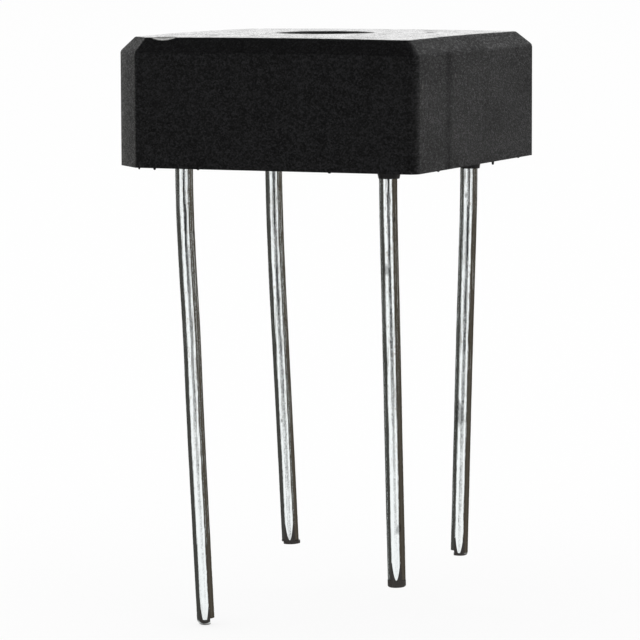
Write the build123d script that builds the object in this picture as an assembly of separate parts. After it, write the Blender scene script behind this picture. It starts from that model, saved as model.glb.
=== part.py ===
from build123d import *
import math
import os

# Small square single-phase bridge rectifier with a centre screw hole and four wire leads.
# Millimetres. The origin is on the screw hole's axis, in the plane of the case's lower rim.
# +Z points to the flat top that is screwed against a heat sink, and the leads point down.
# The cut corner is at -X -Y and marks the plus lead.

# Case
body_side = 15.24
body_height = 6.0
top_crown = 0.09
top_bevel = 0.65
corner_cut = 1.45
corner_radius = 0.45
edge_radius = 0.22
wall_thickness = 1.0
roof_thickness = 0.9
cavity_radius = 0.5
hole_diameter = 3.8
hole_mouth_radius = 0.6
boss_wall = 0.9

# Chip worn out of the front bevel's upper edge, measured from the foot of the cut corner
chip_place = 1.15
chip_radius = 1.6
chip_depth = 0.1

# Moulding flash left on the lower rim: edge, place along it, width and drop. A place is
# measured from the edge's start in anticlockwise order, or from its end if it is negative.
flash_nubs = [
    ("front", 0.15, 0.10, 0.07),
    ("front", 0.92, 0.14, 0.08),
    ("front", 3.10, 0.14, 0.04),
    ("front", -4.22, 0.16, 0.04),
    ("right", 2.87, 0.14, 0.05),
    ("right", -5.43, 0.14, 0.15),
    ("right", -2.02, 0.15, 0.04),
]
flash_taper = 0.6
flash_setback = 0.02

# Leads: round tinned wire, upset to a head inside the potting
lead_diameter = 0.84
lead_inset = 2.54
head_diameter = 1.5
head_thickness = 0.3
first_bend = 1.6

# The four leads were potted a little to one side, and all lean in one upright plane
pattern_shift = 0.14
lean_heading = 23.25
bend_share = 0.45

# Route of each lead below its straight root: drop under the rim, sideways lean
lead_bends = {
    "plus": [(4.6, 0.12), (7.7, 0.295), (12.0, 0.44), (16.2, 0.63), (21.5, 0.87)],
    "ac_1": [(6.0, 0.14), (11.0, 0.38), (15.2, 0.57), (19.22, 0.745)],
    "ac_2": [(5.0, 0.08), (9.0, 0.165), (13.5, 0.25), (19.03, 0.37)],
    "minus": [(4.5, -0.08), (9.0, -0.215), (13.6, -0.325), (19.16, -0.46)],
}

# Corner of the square that each lead stands in
lead_corners = {"plus": (-1, -1), "ac_1": (-1, 1), "ac_2": (1, -1), "minus": (1, 1)}

# Cut ends of the leads: end rounding, then the side, width and height of a sheared step
tip_forms = {
    "plus": (0.3, 1, 0.2, 0.33),
    "ac_2": (0.1, 0, 0.0, 0.0),
    "minus": (0.16, -1, 0.16, 0.26),
}

# The first alternating lead was nipped off and keeps a burr pushed to one side
burr_diameter = 0.82
burr_height = 0.13
burr_offset = 0.07

# Epoxy creeps down each lead as a collar: drop under the rim, radial growth at its end, offset
collars = {
    "plus": (0.12, 0.04, 0.0),
    "ac_1": (0.30, 0.03, 0.0),
    "ac_2": (0.38, 0.06, 0.04),
    "minus": (0.55, 0.04, 0.05),
}
collar_spread = 0.16
fill_recess = 0.1

# Stamped copper straps, silicon dice and the solder between them
strap_thickness = 0.4
strap_wall_gap = 0.35
strap_roof_gap = 0.5
die_side = 1.8
die_thickness = 0.26
solder_thickness = 0.1
solder_margin = 0.1

# Derived sizes and places
half = body_side / 2
cut_foot = -half + corner_cut
cavity_half = half - wall_thickness
corner_height = body_height - top_crown
cavity_height = corner_height - roof_thickness
bevel_reach = math.hypot(half - top_bevel, half - top_bevel)
crown_radius = (bevel_reach**2 + top_crown**2) / (2 * top_crown)
hole_radius = hole_diameter / 2
boss_radius = hole_radius + boss_wall
lead_half = half - lead_inset
heading = Vector(math.cos(math.radians(lean_heading)), math.sin(math.radians(lean_heading)), 0)
pattern = heading * pattern_shift
strap_width = 2 * (cavity_half - strap_wall_gap - lead_half - pattern.X)
dc_strap_z = cavity_height - strap_roof_gap - strap_thickness
die_z = dc_strap_z - solder_thickness - die_thickness
ac_strap_z = die_z - solder_thickness - strap_thickness
strap_floor = {"plus": dc_strap_z, "minus": dc_strap_z, "ac_1": ac_strap_z, "ac_2": ac_strap_z}

# Each die joins a direct strap above it to an alternating strap below it
die_sites = {
    "ac_1_to_plus": (-1, 0),
    "ac_2_to_plus": (0, -1),
    "minus_to_ac_1": (0, 1),
    "minus_to_ac_2": (1, 0),
}


def cut_corner_square(half_side, cut):
    """Square face with its -X -Y corner cut off at 45 degrees."""
    outline = Polyline(
        (-half_side + cut, -half_side),
        (half_side, -half_side),
        (half_side, half_side),
        (-half_side, half_side),
        (-half_side, -half_side + cut),
        close=True,
    )
    return make_face(outline)


def crown_z(radius):
    """Height of the domed top face at a distance from the hole's axis."""
    return body_height - crown_radius + math.sqrt(crown_radius**2 - radius**2)


def cavity_block(floor, roof):
    """The room inside the walls between two heights, with rounded upright corners."""
    # the cut keeps the wall square to the cut corner as thick as the others
    cut = corner_cut - wall_thickness * (2 - math.sqrt(2))
    face = cut_corner_square(cavity_half, cut)
    face = fillet(face.vertices(), cavity_radius)
    return Pos(0, 0, floor) * extrude(face, roof - floor)


def hole_cutter():
    """Revolved cutter of the screw hole, with its rounded upper mouth."""
    mouth_radius = hole_radius + hole_mouth_radius
    mouth_z = crown_z(mouth_radius)
    throat_z = mouth_z - hole_mouth_radius
    profile = Polyline((0, -body_height), (hole_radius, -body_height), (hole_radius, throat_z))
    profile += RadiusArc((hole_radius, throat_z), (mouth_radius, mouth_z), hole_mouth_radius)
    profile += Polyline((mouth_radius, mouth_z), (mouth_radius, 2 * body_height), (0, 2 * body_height))
    profile += Line((0, 2 * body_height), (0, -body_height))
    face = make_face(Plane.XZ * profile)
    return revolve(face, Axis.Z)


def flash_nub(edge, place, width, drop):
    """A small tapered tear of flash that hangs from the rim at the foot of a side."""
    inset = half - width / 2 - flash_setback
    start = cut_foot if edge == "front" else -half
    along = start + place if place > 0 else half + place
    spot = (along, -inset) if edge == "front" else (inset, along)
    nub = Cone(width / 2 * flash_taper, width / 2, drop, align=(Align.CENTER, Align.CENTER, Align.MAX))
    return Pos(spot[0], spot[1], 0) * nub


def creases(body):
    """Edges above the rim along which two faces meet at an angle."""
    found = []
    for edge in body.edges():
        normals = [face.normal_at(edge @ 0.5) for face in body.faces() if edge in face.edges()]
        whole_degrees = round(normals[0].get_angle(normals[-1]))
        if edge.center().Z > top_bevel and whole_degrees > 0:
            found.append(edge)
    return found


def case_block():
    """Solid case: crowned and bevelled top, cut corner and rounded square corners."""
    body = extrude(cut_corner_square(half, corner_cut), body_height)
    dome = Pos(0, 0, body_height - crown_radius) * Rot(90, 0, 0) * Sphere(crown_radius)
    body = body & dome
    bevel_foot = corner_height - top_bevel
    body = chamfer([edge for edge in body.edges() if edge.center().Z > bevel_foot], top_bevel)
    mitres = []
    for edge in body.edges():
        place = edge.center()
        if place.Z > bevel_foot and min(abs(place.X), abs(place.Y)) > half - top_bevel:
            mitres.append(edge)
    body = fillet(mitres, corner_radius)
    outline = cut_corner_square(half, corner_cut)
    square_corners = [vertex for vertex in outline.vertices() if vertex.X > 0 or vertex.Y > 0]
    body = body & extrude(fillet(square_corners, corner_radius), body_height)
    return fillet(creases(body), edge_radius)


def case_shell():
    """Moulded cup, open below, with a boss round the hole."""
    body = case_block()
    boss = extrude(Circle(boss_radius), cavity_height)
    body = body - (cavity_block(0, cavity_height) - boss)
    body = body - hole_cutter()
    scoop = Pos(cut_foot + chip_place, -half + top_bevel, corner_height + chip_radius - chip_depth)
    body = body - scoop * Rot(0, -90, 0) * Sphere(chip_radius)
    for edge, place, width, drop in flash_nubs:
        body = body + flash_nub(edge, place, width, drop)
    return body


def lead_root(name):
    """Where a lead's axis leaves the underside."""
    side_x, side_y = lead_corners[name]
    return Vector(side_x * lead_half, side_y * lead_half, 0) + pattern


def lead_points(name):
    """Route of a lead's axis from the top of its head to its cut end."""
    root = lead_root(name)
    points = [root + Vector(0, 0, strap_floor[name] - solder_thickness)]
    for drop, lean in [(first_bend, 0)] + lead_bends[name]:
        points.append(root + heading * lean - Vector(0, 0, drop))
    return points


def bend_radii(points):
    """Radius at each inner point, as large as the shorter of its two runs allows."""
    radii = []
    for before, corner, after in zip(points, points[1:], points[2:]):
        turn = math.radians((corner - before).get_angle(after - corner))
        run = min((corner - before).length, (after - corner).length)
        radii.append(bend_share * run / math.tan(turn / 2))
    return radii


def cut_tip(wire, plane, name):
    """Round a lead's cut end and shear a step off one side of it."""
    rounding, side, width, height = tip_forms[name]
    end = min(wire.edges(), key=lambda edge: edge.bounding_box().center().Z)
    wire = fillet(end, min(rounding, lead_diameter * bend_share))
    if side:
        reach = 2 * lead_diameter
        notch = Box(reach, reach, 2 * height)
        wire = wire - plane * Pos(side * (lead_diameter / 2 - width + reach / 2), 0, 0) * notch
    return wire


def lead(name):
    """Round wire with an upset head, gentle bends and the cut end that the shears left."""
    points = lead_points(name)
    end_run = points[-2] - points[-1]
    tip = Plane(origin=points[-1], x_dir=heading, z_dir=end_run)
    if name not in tip_forms:
        points[-1] = points[-1] + end_run.normalized() * burr_height
    path = FilletPolyline(*points, radius=bend_radii(points))
    top = Plane(origin=points[0], z_dir=Vector(0, 0, -1))
    wire = sweep(top * Circle(lead_diameter / 2), path=path)
    if name in tip_forms:
        wire = cut_tip(wire, tip, name)
    else:
        burr = extrude(Circle(burr_diameter / 2), burr_height)
        wire = wire + tip * Pos(burr_offset, 0, 0) * burr
    head = Pos(points[0]) * extrude(Circle(head_diameter / 2), -head_thickness)
    return wire + head


def strap(name):
    """Flat copper angle from a lead's head along two sides to the nearest dice."""
    side_x, side_y = lead_corners[name]
    arm_x = Pos(side_x * lead_half / 2, side_y * lead_half) * SlotCenterToCenter(lead_half, strap_width)
    arm_y = Pos(side_x * lead_half, side_y * lead_half / 2) * SlotCenterToCenter(
        lead_half, strap_width, rotation=90
    )
    blank = extrude(arm_x + arm_y, strap_thickness)
    return Pos(pattern + Vector(0, 0, strap_floor[name])) * blank


def die_place(site, height):
    """A point on a die's axis at a height."""
    side_x, side_y = die_sites[site]
    return pattern + Vector(side_x * lead_half, side_y * lead_half, height)


def die(site):
    """Square silicon die."""
    return Pos(die_place(site, die_z + die_thickness / 2)) * Box(die_side, die_side, die_thickness)


def solder_disc(place, diameter):
    """Flat solder joint standing on a point."""
    return Pos(place) * extrude(Circle(diameter / 2), solder_thickness)


def collar(name):
    """Cone of epoxy drawn down a lead below the fill."""
    drop, growth, offset = collars[name]
    foot = lead_root(name) + heading * offset
    top_radius = lead_diameter / 2 + collar_spread
    cone = Cone(
        lead_diameter / 2 + growth,
        top_radius,
        drop + fill_recess,
        align=(Align.CENTER, Align.CENTER, Align.MIN),
    )
    return Pos(foot.X, foot.Y, -drop) * cone


def potting_fill(inner_pieces):
    """Epoxy that fills the cup up to the fill level and grips everything inside it."""
    fill = cavity_block(fill_recess, cavity_height)
    fill = fill - extrude(Circle(boss_radius), cavity_height)
    for name in lead_corners:
        fill = fill + collar(name)
    for piece in inner_pieces:
        fill = fill - piece
    return fill


parts = {"case_shell": case_shell()}
for name in lead_corners:
    parts[f"lead_{name}"] = lead(name)
    parts[f"strap_{name}"] = strap(name)
    head_top = lead_root(name) + Vector(0, 0, strap_floor[name] - solder_thickness)
    parts[f"solder_lead_{name}"] = solder_disc(head_top, head_diameter - solder_margin)
for site in die_sites:
    parts[f"die_{site}"] = die(site)
    joint = die_side - solder_margin
    parts[f"solder_above_die_{site}"] = solder_disc(die_place(site, die_z + die_thickness), joint)
    parts[f"solder_below_die_{site}"] = solder_disc(die_place(site, die_z - solder_thickness), joint)
inner = [solid for node, solid in parts.items() if node != "case_shell"]
parts["potting_fill"] = potting_fill(inner)

os.makedirs("parts", exist_ok=True)
for node, solid in parts.items():
    export_step(solid, f"parts/{node}.step")
    print(node, len(solid.solids()), round(solid.volume, 3))
for name in lead_corners:
    print(name, "bend radii", [round(radius, 1) for radius in bend_radii(lead_points(name))])
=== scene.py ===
"""Finish and studio of a small square bridge rectifier with four tinned wire leads.

Everything is in metres in the part's own frame: the origin lies on the screw hole's axis in the
plane of the case's rim, +Z points out of the top face, and the leads hang down. Textures, and the
marks in the tables below, are laid out in millimetres of that frame.
"""

import math

import bpy
from bpy.props import FloatProperty, FloatVectorProperty, PointerProperty
from mathutils import Matrix, Vector


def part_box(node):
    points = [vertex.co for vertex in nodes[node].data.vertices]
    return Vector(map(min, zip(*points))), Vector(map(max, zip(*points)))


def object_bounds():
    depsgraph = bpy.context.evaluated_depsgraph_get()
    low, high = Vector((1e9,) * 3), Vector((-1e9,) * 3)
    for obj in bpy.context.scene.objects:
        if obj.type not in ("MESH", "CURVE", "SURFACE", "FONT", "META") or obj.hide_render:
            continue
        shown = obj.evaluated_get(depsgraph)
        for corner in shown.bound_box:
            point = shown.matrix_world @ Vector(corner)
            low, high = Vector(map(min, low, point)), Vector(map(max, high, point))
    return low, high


bl_info = {
    "name": "Bridge Rectifier Finish",
    "version": (1, 0, 0),
    "blender": (4, 5, 0),
    "location": "3D View > Sidebar > Rectifier",
    "description": "Gives the parts of a bridge rectifier their finishes and sets up a small studio",
    "category": "Object",
}

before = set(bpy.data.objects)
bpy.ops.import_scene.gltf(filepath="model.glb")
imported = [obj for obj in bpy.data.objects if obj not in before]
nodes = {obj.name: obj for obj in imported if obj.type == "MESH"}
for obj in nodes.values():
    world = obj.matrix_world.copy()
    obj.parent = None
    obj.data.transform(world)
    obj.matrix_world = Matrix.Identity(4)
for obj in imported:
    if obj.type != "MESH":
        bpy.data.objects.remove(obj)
cad_low, cad_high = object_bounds()

LEADS = ("plus", "ac_1", "ac_2", "minus")
DICE = ("ac_1_to_plus", "ac_2_to_plus", "minus_to_ac_1", "minus_to_ac_2")
MM = 0.001

# Case: how far a face's normal leans where the cut corner, bevels, top and right side begin
CORNER_LEAN = (-0.45, -0.3)
BEVEL_LEAN = (0.25, 0.9)
TOP_LEAN = (0.93, 0.97)
RIGHT_LEAN = (0.9, 0.95)

# The cut corner is scuffed most along its left edge. From and to, along X
CORNER_EDGE = (-7.4, -6.9)

# The flow mark on the right side, from its front edge to its back edge
FLOW_MARK = (-4.0, -3.4)

# The chip in the front bevel, as the centre and the radius of a ball that scoops it out
CHIP = ((-5.02, -6.97, 7.4), 1.6)

# Scuffs on the top face and on the right side, each with its centre and its size
TOP_SCUFFS = (
    ((3.4, 4.6, 5.93), 0.3),
    ((4.6, 1.8, 5.93), 0.3),
    ((1.8, -0.7, 5.93), 0.28),
    ((-3.6, -4.4, 5.93), 0.25),
)
SIDE_SCUFFS = (
    ((7.62, -6.85, 3.87), 0.11),
    ((7.62, -2.8, 4.2), 0.08),
)

# Leads: the wire's radius, and the heights between which the tin goes from clean to handled
LEAD_RADIUS = 0.42 * MM
HANDLED = (-15.0, -9.0)

# Dull marks on each lead: height, side of the wire in degrees, with 0 in front and 90 on the
# right, and size. They are longer up the wire than across it
SMUDGES = {
    "plus": ((-3.1, 87, 0.10),),
    "ac_1": ((-0.65, 50, 0.10), (-13.1, 6, 0.06)),
    "ac_2": ((-2.2, 57, 0.07), (-4.5, 4, 0.16), (-16.3, 47, 0.13)),
    "minus": ((-1.8, 6, 0.07), (-12.0, -7, 0.2), (-12.5, 3, 0.24)),
}
SMUDGE_STRETCH = 1.8

# Cut ends: how far up each lead the metal is bare and coloured dark. This is partly the bare cut end and
# partly painted shade for the dark reflection of the slightly rounded tip. Also the side in degrees where a
# tongue of tin reaches down to that height, and how much further up the metal is bare beside the tongue
BARE_AND_SHADED_ENDS = {"plus": 0.10, "ac_1": 0.22, "ac_2": 0.36, "minus": 0.12}
TONGUE_SIDE = 20
TONGUE_RISE = 0.8

# Studio: azimuths in degrees between which reflections show each card. The right card ends
# straight behind the part
LEFT_CARD = (-128, -38)
RIGHT_CARD = (68, 200)
RIGHT_CARD_STRIPE = (103, 121)
FRONT_CARD = (6, 40)

# The two lamps' distance from the part and their width, in metres
LAMP_DISTANCE = 1.5
LAMP_SIZE = 1.0


# Shader graphs


class Graph:
    """A node tree under construction. Its textures are laid out in millimetres of the part's frame."""

    def __init__(self, tree, output):
        self.tree = tree
        self.tree.nodes.clear()
        self.out = self.tree.nodes.new(output)

    def add(self, kind, sockets=None, **settings):
        """A node with its settings, and its sockets set to values or linked to other sockets."""
        node = self.tree.nodes.new(kind)
        for name, value in settings.items():
            setattr(node, name, value)
        for name, value in (sockets or {}).items():
            self.put(node.inputs[name], value)
        return node

    def put(self, socket, value):
        """Sets a socket to a value, or links another socket to it."""
        if isinstance(value, bpy.types.NodeSocket):
            self.tree.links.new(value, socket)
        else:
            socket.default_value = value

    def math(self, operation, first, second=0.0, third=0.0):
        """One step of arithmetic on numbers."""
        return self.add("ShaderNodeMath", {0: first, 1: second, 2: third}, operation=operation).outputs[0]

    def times(self, first, second):
        """Product of two numbers."""
        return self.math("MULTIPLY", first, second)

    def rest(self, share):
        """What a share leaves of 1."""
        return self.math("SUBTRACT", 1.0, share)

    def vector_math(self, operation, first, second=(0, 0, 0)):
        """Outputs of one step of arithmetic on vectors."""
        return self.add("ShaderNodeVectorMath", {0: first, 1: second}, operation=operation).outputs

    def millimetres(self, stretch=(1, 1, 1), shift=(0, 0, 0)):
        """Position in the part's frame in millimetres, stretched and shifted for a texture."""
        place = self.add("ShaderNodeTexCoord").outputs["Object"]
        sockets = {"Vector": place, "Location": shift, "Scale": [factor / MM for factor in stretch]}
        return self.add("ShaderNodeMapping", sockets).outputs["Vector"]

    def noise(self, vector, scale, detail=2.0, roughness=0.5):
        """Soft noise from 0 to 1, with scale as features per millimetre."""
        sockets = {"Vector": vector, "Scale": scale, "Detail": detail, "Roughness": roughness}
        return self.add("ShaderNodeTexNoise", sockets).outputs["Fac"]

    def remap(self, value, low, high, start=0.0, end=1.0):
        """A value's range from low to high turned into the range from start to end, and held there."""
        sockets = {"Value": value, "From Min": low, "From Max": high, "To Min": start, "To Max": end}
        return self.add("ShaderNodeMapRange", sockets, clamp=True).outputs["Result"]

    def span(self, value, low, high, soft):
        """1 where a value lies between two limits, with soft ends."""
        rise = self.remap(value, low - soft, low + soft)
        fall = self.remap(value, high - soft, high + soft, 1.0, 0.0)
        return self.times(rise, fall)

    def blend(self, share, first, second):
        """A colour between two others."""
        node = self.add("ShaderNodeMix", data_type="RGBA")
        self.put(node.inputs["Factor"], share)
        self.put(node.inputs[6], first)
        self.put(node.inputs[7], second)
        return node.outputs[2]

    def reach(self, centre, stretch=1.0):
        """Distance from a point in millimetres, with upright distances shortened by a stretch."""
        offset = self.vector_math("SUBTRACT", self.millimetres(), centre)["Vector"]
        squeezed = self.vector_math("MULTIPLY", offset, (1, 1, 1 / stretch))["Vector"]
        return self.vector_math("LENGTH", squeezed)["Value"]

    def mark(self, centre, size, ragged, stretch=1.0):
        """1 in a small mark with a ragged edge, and 0 round it."""
        edge = self.math("MULTIPLY_ADD", ragged, 0.9 * size, self.reach(centre, stretch))
        return self.remap(edge, 0.5 * size, 1.2 * size, 1.0, 0.0)

    def bump(self, height, depth, strength=1.0, under=None):
        """A surface bump whose depth is in millimetres."""
        sockets = {"Height": height, "Distance": depth * MM, "Strength": strength}
        if under is not None:
            sockets["Normal"] = under
        return self.add("ShaderNodeBump", sockets).outputs["Normal"]


def new_material(name):
    """An empty procedural material and its graph."""
    material = bpy.data.materials.new(name)
    material.use_nodes = True
    return material, Graph(material.node_tree, "ShaderNodeOutputMaterial")


def finish_material(graph, **sockets):
    """Ends a graph in a surface shader with these sockets."""
    names = {name.replace("_", " "): value for name, value in sockets.items()}
    shader = graph.add("ShaderNodeBsdfPrincipled", names)
    graph.put(graph.out.inputs["Surface"], shader.outputs[0])


def rgba(colour):
    """A colour property with full alpha."""
    return (*colour, 1.0)


def dress(name, material):
    """Gives a part of the frame its material."""
    part = nodes[name]
    part.data.materials.clear()
    part.data.materials.append(material)


# Settings


def colour_setting(name, description, default):
    """A colour property."""
    return FloatVectorProperty(
        name=name, description=description, default=default, subtype="COLOR", size=3, min=0, max=1
    )


def share_setting(name, description, default):
    """A property that is a share from 0 to 1."""
    return FloatProperty(
        name=name, description=description, default=default, subtype="FACTOR", min=0, max=1
    )


class RectifierCaseSettings(bpy.types.PropertyGroup):
    """Finish of the moulded case."""

    colour: colour_setting("Colour", "Colour of the moulding compound", (0.0003, 0.0003, 0.0007))
    worn: colour_setting("Worn colour", "Colour of the lighter grains", (0.0142, 0.0144, 0.0162))
    roughness: share_setting("Roughness", "How matt the sides are", 0.62)
    top_roughness: share_setting("Top roughness", "How matt the top face is", 0.12)
    gloss: share_setting("Gloss", "Strength of the plain reflection", 0.45)
    scuffed: colour_setting(
        "Scuffed colour", "Colour of the scuffs on the cut corner and the right side", (0.060, 0.059, 0.055)
    )
    broken: colour_setting("Broken colour", "Colour of the small chip's broken face", (0.24, 0.24, 0.23))
    grain: FloatProperty(
        name="Grain", description="Grains in a millimetre", default=17.0, min=0.1, max=50
    )
    grain_depth: FloatProperty(
        name="Grain depth", description="Depth of the grain in millimetres", default=0.03, min=0, max=0.1
    )


class RectifierLeadSettings(bpy.types.PropertyGroup):
    """Finish of the tinned wire leads."""

    colour: colour_setting("Tin", "Colour of the bright tin", (0.93, 0.97, 0.97))
    tarnish: colour_setting("Tarnish", "Colour of the dull streaks", (0.52, 0.49, 0.44))
    roughness: share_setting("Roughness", "Roughness of the bright tin", 0.06)
    streaks: FloatProperty(
        name="Draw lines", description="Draw lines in a millimetre round the wire",
        default=14.0, min=0.1, max=60,
    )
    streak_depth: FloatProperty(
        name="Draw line depth", description="Depth of a draw line in millimetres",
        default=0.005, min=0, max=0.1,
    )
    # The cut end's colour: dark bare metal, and painted shade standing for the rounded tip's dark
    # reflection
    cut_end_and_shade: colour_setting("Cut end", "Colour of the bare cut end", (0.038, 0.033, 0.029))
    smudge: colour_setting("Smudge", "Colour of the dull smudges", (0.32, 0.33, 0.33))


class RectifierInnerSettings(bpy.types.PropertyGroup):
    """Finishes of the potting and what it holds."""

    epoxy: colour_setting("Epoxy", "Colour of the potting epoxy", (0.011, 0.0105, 0.011))
    copper: colour_setting("Copper", "Colour of the straps", (0.80, 0.42, 0.28))
    silicon: colour_setting("Silicon", "Colour of the dice", (0.16, 0.17, 0.21))
    solder: colour_setting("Solder", "Colour of the solder joints", (0.58, 0.58, 0.60))


class RectifierStudioSettings(bpy.types.PropertyGroup):
    """Camera, floor and what reflections show."""

    azimuth: FloatProperty(
        name="Azimuth", description="Camera's turn from the front towards the right side",
        default=math.radians(23.252), subtype="ANGLE",
    )
    pitch: FloatProperty(
        name="Pitch", description="How far the camera looks down",
        default=math.radians(6.104), subtype="ANGLE",
    )
    roll: FloatProperty(
        name="Roll", description="Camera's turn about its line of sight",
        default=math.radians(-0.202), subtype="ANGLE",
    )
    aim: FloatVectorProperty(
        name="Aim", description="Point in the middle of the picture",
        default=(0.000047, -0.000843, -0.007415), subtype="TRANSLATION",
    )
    distance: FloatProperty(
        name="Distance", description="From the aim point to the camera", default=0.17733, unit="LENGTH"
    )
    lens: FloatProperty(name="Lens", description="Focal length in mm", default=213.07, unit="CAMERA")
    floor_radius: FloatProperty(
        name="Floor radius", description="Half the width of the round floor", default=4.0, unit="LENGTH"
    )
    floor_colour: colour_setting("Floor", "Colour of the floor and the surround", (0.985, 0.985, 0.985))
    floor_shade: share_setting("Floor shade", "Share of the floor's colour that shadows can darken", 0.2)
    left_flag: colour_setting("Left card", "Tone of the dark card on the left", (0.056, 0.055, 0.050))
    right_flag: colour_setting("Right card", "Tone of the dark card on the right", (0.064, 0.053, 0.041))
    right_stripe: colour_setting(
        "Right card's stripe", "Tone of the paler stripe on the right card", (0.082, 0.070, 0.056)
    )
    front_card: colour_setting("Front card", "Tone of the grey card by the camera", (0.035, 0.035, 0.037))
    near_floor: colour_setting(
        "Near floor", "Tone of the floor close in front, in reflections", (0.1, 0.1, 0.1)
    )
    front_sky: colour_setting("Ceiling", "Tone of the dim room above and in front", (0.015, 0.015, 0.016))


class RectifierSettings(bpy.types.PropertyGroup):
    """All settings of the rectifier."""

    case: PointerProperty(type=RectifierCaseSettings)
    leads: PointerProperty(type=RectifierLeadSettings)
    inner: PointerProperty(type=RectifierInnerSettings)
    studio: PointerProperty(type=RectifierStudioSettings)


# Finishes


def moulded_plastic(settings):
    """Matt black moulding compound: fine grains, a scuffed cut corner, a flow mark and a smoother top."""
    material, graph = new_material("moulded_black_plastic")
    place = graph.millimetres((1, 0.5, 1))
    grains = graph.add("ShaderNodeTexVoronoi", {"Vector": place, "Scale": settings.grain}).outputs
    tone = graph.add("ShaderNodeSeparateColor", {"Color": grains["Color"]}).outputs["Red"]
    spark = graph.math("POWER", tone, 2.0)
    ragged = graph.math("MULTIPLY_ADD", graph.noise(graph.millimetres(), 5.0, 3.0), 2.0, -1.0)
    facing = graph.add("ShaderNodeNewGeometry").outputs["True Normal"]
    lean = graph.add("ShaderNodeSeparateXYZ", {"Vector": facing}).outputs
    where = graph.add("ShaderNodeSeparateXYZ", {"Vector": graph.millimetres()}).outputs

    # Colour: lighter grains, the scuffed cut corner, painted shade that darkens the bevels, scuffs and the
    # chip
    colour = graph.blend(spark, rgba(settings.colour), rgba(settings.worn))
    cut = graph.remap(graph.math("MAXIMUM", lean["X"], lean["Y"]), *CORNER_LEAN, 1.0, 0.0)
    rubbed = graph.times(cut, graph.remap(where["X"], *CORNER_EDGE, 1.0, 0.45))
    rubbed = graph.times(rubbed, graph.remap(tone, 0.0, 1.0, 0.4, 1.0))
    colour = graph.blend(rubbed, colour, rgba(settings.scuffed))
    # Painted shade: the bevels, picked out by the way they face, are darkened halfway to the bare
    # compound's colour
    bevel_shade = graph.times(graph.span(lean["Z"], *BEVEL_LEAN, 0.05), graph.rest(cut))
    colour = graph.blend(graph.times(bevel_shade, 0.5), colour, rgba(settings.colour))
    for centre, size in SIDE_SCUFFS:
        colour = graph.blend(graph.mark(centre, size, ragged), colour, rgba(settings.scuffed))
    centre, radius = CHIP
    chip = graph.remap(graph.reach(centre), radius + 0.01, radius + 0.03, 1.0, 0.0)
    broken = graph.times(chip, graph.remap(tone, 0.0, 1.0, 0.35, 1.0))
    colour = graph.blend(broken, colour, rgba(settings.broken))

    # Roughness of the sides: broad patches, smoother grains and the flow mark
    broad = graph.noise(place, 0.7, 2.0)
    even = graph.remap(broad, 0.3, 0.7, settings.roughness - 0.06, settings.roughness + 0.06)
    speckled = graph.math("ADD", even, graph.remap(spark, 0.0, 1.0, 0.08, -0.2))
    flow_mark = graph.times(graph.span(where["Y"], *FLOW_MARK, 0.22), graph.remap(lean["X"], *RIGHT_LEAN))
    sides = graph.math("MULTIPLY_ADD", flow_mark, 0.16, speckled)

    # Roughness of the top face: mottled, with duller grains and scuffs
    mottle = graph.noise(place, 1.9, 4.0, 0.7)
    smooth = graph.remap(mottle, 0.42, 0.62, settings.top_roughness, settings.top_roughness + 0.45)
    smooth = graph.math("ADD", smooth, graph.remap(spark, 0.0, 1.0, -0.07, 0.12))
    top = graph.remap(lean["Z"], *TOP_LEAN)
    for centre, size in TOP_SCUFFS:
        mark = graph.mark(centre, size, ragged)
        smooth = graph.math("MULTIPLY_ADD", mark, 0.4, smooth)
        top = graph.times(top, graph.rest(graph.times(mark, 0.8)))

    fine = graph.noise(place, settings.grain, 2.0, 0.8)
    finish_material(
        graph,
        Base_Color=colour,
        Roughness=graph.remap(top, 0.0, 1.0, sides, smooth),
        Specular_IOR_Level=settings.gloss,
        Coat_Weight=graph.times(top, graph.remap(spark, 0.0, 0.8, 1.0, 0.5)),
        Coat_Roughness=0.1,
        Normal=graph.bump(fine, settings.grain_depth, graph.remap(top, 0.0, 1.0, 1.0, 0.35)),
    )
    return material


def cast_epoxy(settings):
    """Satin black potting with slow ripples and a few paler specks."""
    material, graph = new_material("cast_black_epoxy")
    place = graph.millimetres()
    ripples = graph.noise(place, 0.9, 2.0)
    specks = graph.noise(place, 6.0, 3.0)
    pale = (0.035, 0.034, 0.033, 1)
    finish_material(
        graph,
        Base_Color=graph.blend(graph.remap(specks, 0.55, 0.8), rgba(settings.epoxy), pale),
        Roughness=graph.remap(specks, 0.3, 0.7, 0.28, 0.42),
        Specular_IOR_Level=0.5,
        Normal=graph.bump(ripples, 0.12),
    )
    return material


def surface_point(name, height, side):
    """Point on a lead's surface in millimetres, from its height and the side of the wire it is on."""
    level, window = height * MM, 1.5 * MM
    verts = nodes[f"lead_{name}"].data.vertices
    near = [vert.co for vert in verts if abs(vert.co.z - level) < window]
    centre = sum(near, Vector()) / len(near)
    centre.z = level
    return (centre + heading(math.radians(side)) * LEAD_RADIUS) / MM


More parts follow.
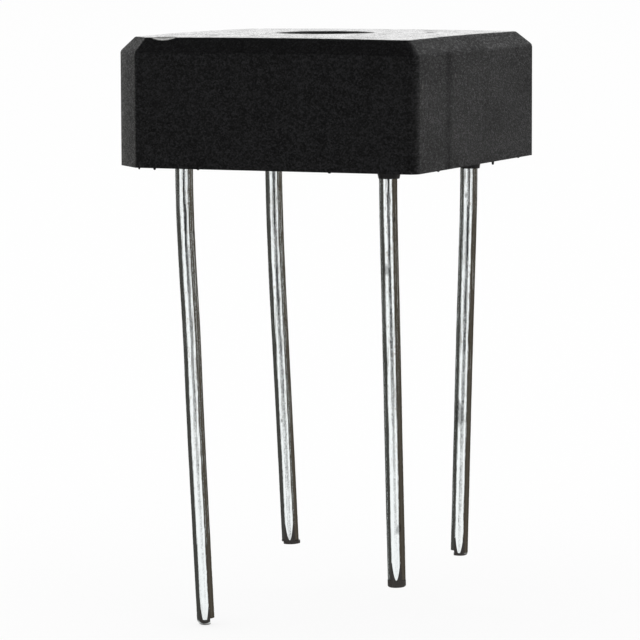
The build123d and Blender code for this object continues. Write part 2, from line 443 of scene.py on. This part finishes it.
def tinned_wire(name, settings, shift):
    """Bright tin over drawn wire: lengthwise draw lines, dull streaks, smudges and a bare cut end whose
    dark colour is partly painted shade.
    """
    material, graph = new_material(f"tinned_wire_{name}")
    lines = graph.noise(graph.millimetres((1, 1, 0.02), shift), settings.streaks, 3.0, 0.6)
    waves = graph.noise(graph.millimetres((1, 1, 0.35), shift), 1.1, 2.0)
    marks = graph.noise(graph.millimetres((1, 1, 0.5), shift), 5.0, 3.0)
    nicks = graph.noise(graph.millimetres((1, 1, 0.3), shift), 11.0, 2.0, 0.7)
    height_up = graph.add("ShaderNodeSeparateXYZ", {"Vector": graph.millimetres()}).outputs["Z"]
    handled = graph.remap(height_up, *HANDLED, 0.12, 1.0)

    # Colour of the tin: dull streaks, nicks and smudges
    dull = graph.times(graph.remap(lines, 0.54, 0.7), graph.remap(marks, 0.42, 0.65))
    dull = graph.math("MAXIMUM", dull, graph.remap(nicks, 0.56, 0.72, 0.0, 0.7))
    colour = graph.blend(graph.times(dull, handled), rgba(settings.colour), rgba(settings.tarnish))
    ragged = graph.math("MULTIPLY_ADD", marks, 2.0, -1.0)
    for height, side, size in SMUDGES[name]:
        mark = graph.mark(surface_point(name, height, side), size, ragged, SMUDGE_STRETCH)
        colour = graph.blend(graph.times(mark, 0.8), colour, rgba(settings.smudge))

    # The bare cut end, darkened partly as painted shade of the rounded tip: its colour sets in a little
    # above the line where it stops being metal
    above = graph.math("SUBTRACT", height_up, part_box(f"lead_{name}")[0].z / MM)
    outward = graph.add("ShaderNodeNewGeometry").outputs["Normal"]
    turned = graph.vector_math("DOT_PRODUCT", outward, heading(math.radians(TONGUE_SIDE)))["Value"]
    off_tongue = graph.remap(turned, 0.9, 1.0, TONGUE_RISE, 0.0)
    climb = graph.times(off_tongue, graph.remap(turned, 0.77, 0.87))
    short = graph.math("SUBTRACT", graph.math("ADD", climb, BARE_AND_SHADED_ENDS[name]), above)
    colour = graph.blend(graph.remap(short, -0.03, 0.02), colour, rgba(settings.cut_end_and_shade))
    bare = graph.remap(short, 0.0, 0.05)

    scratched = graph.times(graph.remap(lines, 0.48, 0.7, 0.0, 0.3), handled)
    polish = graph.remap(marks, 0.3, 0.7, settings.roughness - 0.02, settings.roughness + 0.04)
    wavy = graph.bump(waves, 0.02)
    dented = graph.bump(nicks, 0.003, under=wavy)
    finish_material(
        graph,
        Base_Color=colour,
        Metallic=graph.rest(bare),
        Roughness=graph.math("MULTIPLY_ADD", bare, 0.4, graph.math("ADD", polish, scratched)),
        Normal=graph.bump(lines, settings.streak_depth, under=dented),
    )
    return material


def metal(name, colour, dull_colour, roughness, grain, depth, metallic=1.0):
    """A metal with patches of a duller tone and a fine surface."""
    material, graph = new_material(name)
    place = graph.millimetres()
    patches = graph.noise(place, grain, 3.0)
    finish_material(
        graph,
        Base_Color=graph.blend(graph.remap(patches, 0.4, 0.7), rgba(colour), rgba(dull_colour)),
        Metallic=metallic,
        Roughness=graph.remap(patches, 0.3, 0.7, roughness, roughness + 0.15),
        Normal=graph.bump(graph.noise(place, 4 * grain, 2.0), depth),
    )
    return material


# Stage


def link(name, data):
    """A new object in the scene."""
    item = bpy.data.objects.new(name, data)
    bpy.context.scene.collection.objects.link(item)
    return item


def heading(azimuth):
    """Level direction at an azimuth: 0 is in front of the part and 90 degrees is to its right."""
    return Vector((math.sin(azimuth), -math.cos(azimuth), 0))


def make_floor(settings, height):
    """Round pale floor that takes the part's shadow and is open from below."""
    steps = 64
    verts = [heading(2 * math.pi * index / steps) * settings.floor_radius for index in range(steps)]
    mesh = bpy.data.meshes.new("floor")
    mesh.from_pydata([vert + Vector((0, 0, height)) for vert in verts], [], [tuple(range(steps))])
    floor = link("floor", mesh)
    material, graph = new_material("pale_floor")
    paper = graph.add("ShaderNodeBsdfDiffuse", {"Color": rgba(settings.floor_colour)})
    glow = graph.add("ShaderNodeEmission", {"Color": rgba(settings.floor_colour), "Strength": 1.0})
    path = graph.add("ShaderNodeLightPath")
    seen = graph.math("MAXIMUM", path.outputs["Is Camera Ray"], path.outputs["Is Transmission Ray"])
    share = graph.times(seen, 1 - settings.floor_shade)
    lit = graph.add("ShaderNodeMixShader", {0: share, 1: paper.outputs[0], 2: glow.outputs[0]})
    clear = graph.add("ShaderNodeBsdfTransparent")
    below = graph.add("ShaderNodeNewGeometry").outputs["Backfacing"]
    both = graph.add("ShaderNodeMixShader", {0: below, 1: lit.outputs[0], 2: clear.outputs[0]})
    graph.put(graph.out.inputs["Surface"], both.outputs[0])
    floor.data.materials.append(material)
    floor.visible_glossy = False


def make_world(settings):
    """White surround, plain soft light, and the dim cards and ceiling that reflections show."""
    world = bpy.data.worlds.new("studio")
    world.use_nodes = True
    bpy.context.scene.world = world
    graph = Graph(world.node_tree, "ShaderNodeOutputWorld")
    direction = graph.add("ShaderNodeTexCoord").outputs["Generated"]
    axes = graph.add("ShaderNodeSeparateXYZ", {"Vector": direction}).outputs
    turn = graph.math("ARCTAN2", axes["X"], graph.times(axes["Y"], -1.0))
    azimuth = graph.times(turn, 180 / math.pi)
    rise = graph.times(graph.math("ARCSINE", axes["Z"]), 180 / math.pi)
    white = rgba(settings.floor_colour)

    # Below the horizon: the floor close in front, two dark cards and the grey card by the camera
    level = graph.remap(rise, -30.0, -14.0, 0.4, 1.0)
    far_behind = graph.remap(graph.math("ABSOLUTE", azimuth), 150, 165)
    low_behind = graph.times(far_behind, graph.remap(rise, -15.0, -12.0, 1.0, 0.0))
    cards = graph.times(level, graph.rest(low_behind))
    left = graph.times(graph.span(azimuth, *LEFT_CARD, 1.5), cards)
    tilted = graph.math("ADD", azimuth, graph.remap(rise, -11.5, -8.0, 5.0, 0.0))
    right = graph.times(graph.span(tilted, *RIGHT_CARD, 1.5), cards)
    stripe = graph.span(azimuth, *RIGHT_CARD_STRIPE, 3.0)
    right_tone = graph.blend(stripe, rgba(settings.right_flag), rgba(settings.right_stripe))
    front = graph.times(graph.span(azimuth, *FRONT_CARD, 1.5), graph.remap(rise, -9.8, -5.8))
    near = graph.times(graph.span(azimuth, -90, 90, 15.0), graph.remap(rise, -16.0, -12.0, 1.0, 0.0))
    ground = graph.blend(near, white, rgba(settings.near_floor))
    ground = graph.blend(left, ground, rgba(settings.left_flag))
    ground = graph.blend(right, ground, right_tone)
    ground = graph.blend(front, ground, rgba(settings.front_card))

    # Above it: a dim ceiling that comes down to the horizon in front. It starts higher up behind,
    # and highest behind on the right
    facing = graph.span(azimuth, -75, 95, 20.0)
    lifted = graph.math("MULTIPLY_ADD", graph.span(azimuth, 110, 178, 15.0), -15.0, rise)
    behind = graph.blend(graph.remap(lifted, 18.0, 45.0), white, rgba(settings.front_sky))
    sky = graph.blend(facing, behind, rgba(settings.front_sky))
    mirrored = graph.blend(graph.remap(rise, -0.8, 0.0), ground, sky)

    path = graph.add("ShaderNodeLightPath")
    colour = graph.blend(path.outputs["Is Glossy Ray"], white, mirrored)
    back = graph.add("ShaderNodeBackground", {"Color": colour, "Strength": 1.0})
    graph.put(graph.out.inputs["Surface"], back.outputs[0])


def make_lamp(name, azimuth, elevation, power):
    """A square soft lamp that points at the part, with its place in degrees."""
    data = bpy.data.lights.new(name, "AREA")
    data.size = LAMP_SIZE
    data.energy = power
    lamp = link(name, data)
    level = heading(math.radians(azimuth)) * math.cos(math.radians(elevation))
    lamp.location = LAMP_DISTANCE * (level + Vector((0, 0, math.sin(math.radians(elevation)))))
    lamp.rotation_euler = (-lamp.location).to_track_quat("-Z", "Y").to_euler()
    lamp.visible_glossy = False


def make_camera(settings):
    """Camera at the photograph's viewing angle."""
    data = bpy.data.cameras.new("camera")
    data.lens = settings.lens
    data.clip_start = 0.01
    data.clip_end = 20.0
    camera = link("camera", data)
    level = heading(settings.azimuth) * math.cos(settings.pitch)
    back = level + Vector((0, 0, math.sin(settings.pitch)))
    turn = (-back).to_track_quat("-Z", "Y").to_matrix() @ Matrix.Rotation(settings.roll, 3, "Z")
    place = Vector(settings.aim) + back * settings.distance
    camera.matrix_world = Matrix.Translation(place) @ turn.to_4x4()
    bpy.context.scene.camera = camera


# Operators


class RECTIFIER_OT_case(bpy.types.Operator):
    """Give the case its moulded finish"""

    bl_idname = "rectifier.case"
    bl_label = "Case"

    def execute(self, context):
        dress("case_shell", moulded_plastic(context.scene.rectifier.case))
        return {"FINISHED"}


class RECTIFIER_OT_potting(bpy.types.Operator):
    """Give the potting its cast finish"""

    bl_idname = "rectifier.potting"
    bl_label = "Potting"

    def execute(self, context):
        dress("potting_fill", cast_epoxy(context.scene.rectifier.inner))
        return {"FINISHED"}


class RECTIFIER_OT_leads(bpy.types.Operator):
    """Give the four leads their tinned finish"""

    bl_idname = "rectifier.leads"
    bl_label = "Leads"

    def execute(self, context):
        settings = context.scene.rectifier.leads
        for index, name in enumerate(LEADS):
            # Each lead's textures are shifted, so that no two wear the same marks
            shift = (7.3 * index, 3.1 * index, 0)
            dress(f"lead_{name}", tinned_wire(name, settings, shift))
        return {"FINISHED"}


class RECTIFIER_OT_straps(bpy.types.Operator):
    """Give the straps their copper"""

    bl_idname = "rectifier.straps"
    bl_label = "Straps"

    def execute(self, context):
        copper = metal(
            "stamped_copper", context.scene.rectifier.inner.copper,
            dull_colour=(0.45, 0.21, 0.14), roughness=0.3, grain=1.2, depth=0.004,
        )
        for name in LEADS:
            dress(f"strap_{name}", copper)
        return {"FINISHED"}


class RECTIFIER_OT_dice(bpy.types.Operator):
    """Give the dice their silicon"""

    bl_idname = "rectifier.dice"
    bl_label = "Dice"

    def execute(self, context):
        silicon = metal(
            "silicon", context.scene.rectifier.inner.silicon,
            dull_colour=(0.10, 0.11, 0.14), roughness=0.18, grain=2.5, depth=0.001, metallic=0.8,
        )
        for name in DICE:
            dress(f"die_{name}", silicon)
        return {"FINISHED"}


class RECTIFIER_OT_solder(bpy.types.Operator):
    """Give the solder joints their finish"""

    bl_idname = "rectifier.solder"
    bl_label = "Solder"

    def execute(self, context):
        solder = metal(
            "solder", context.scene.rectifier.inner.solder,
            dull_colour=(0.36, 0.36, 0.37), roughness=0.32, grain=3.5, depth=0.006,
        )
        joints = [f"solder_lead_{name}" for name in LEADS]
        joints += [f"solder_{side}_die_{name}" for side in ("above", "below") for name in DICE]
        for name in joints:
            dress(name, solder)
        return {"FINISHED"}


class RECTIFIER_OT_stage(bpy.types.Operator):
    """Set up the floor, the light and the camera"""

    bl_idname = "rectifier.stage"
    bl_label = "Stage"

    def execute(self, context):
        settings = context.scene.rectifier.studio
        context.scene.view_settings.view_transform = "Standard"
        make_floor(settings, cad_low.z)
        make_world(settings)
        make_lamp("soft_key", azimuth=-40, elevation=55, power=1.5)
        make_lamp("soft_fill", azimuth=70, elevation=45, power=0.7)
        make_camera(settings)
        return {"FINISHED"}


class RECTIFIER_PT_panel(bpy.types.Panel):
    """The rectifier's tools and settings"""

    bl_label = "Bridge rectifier"
    bl_idname = "RECTIFIER_PT_panel"
    bl_space_type = "VIEW_3D"
    bl_region_type = "UI"
    bl_category = "Rectifier"

    def draw(self, context):
        for operator in OPERATORS:
            self.layout.operator(operator.bl_idname)
        settings = context.scene.rectifier
        for group in ("case", "leads", "inner", "studio"):
            box = self.layout.box()
            box.label(text=group.capitalize())
            for setting in getattr(settings, group).__annotations__:
                box.prop(getattr(settings, group), setting)


SETTINGS = (
    RectifierCaseSettings,
    RectifierLeadSettings,
    RectifierInnerSettings,
    RectifierStudioSettings,
    RectifierSettings,
)
OPERATORS = (
    RECTIFIER_OT_case,
    RECTIFIER_OT_potting,
    RECTIFIER_OT_leads,
    RECTIFIER_OT_straps,
    RECTIFIER_OT_dice,
    RECTIFIER_OT_solder,
    RECTIFIER_OT_stage,
)
CLASSES = SETTINGS + OPERATORS + (RECTIFIER_PT_panel,)


def register():
    """Adds the classes and the scene's settings."""
    for item in CLASSES:
        bpy.utils.register_class(item)
    bpy.types.Scene.rectifier = PointerProperty(type=RectifierSettings)


def unregister():
    """Takes the classes and the scene's settings away."""
    del bpy.types.Scene.rectifier
    for item in reversed(CLASSES):
        bpy.utils.unregister_class(item)


def main():
    """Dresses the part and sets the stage."""
    register()
    for operator in OPERATORS:
        group, action = operator.bl_idname.split(".")
        getattr(getattr(bpy.ops, group), action)()


if __name__ == "__main__":
    main()
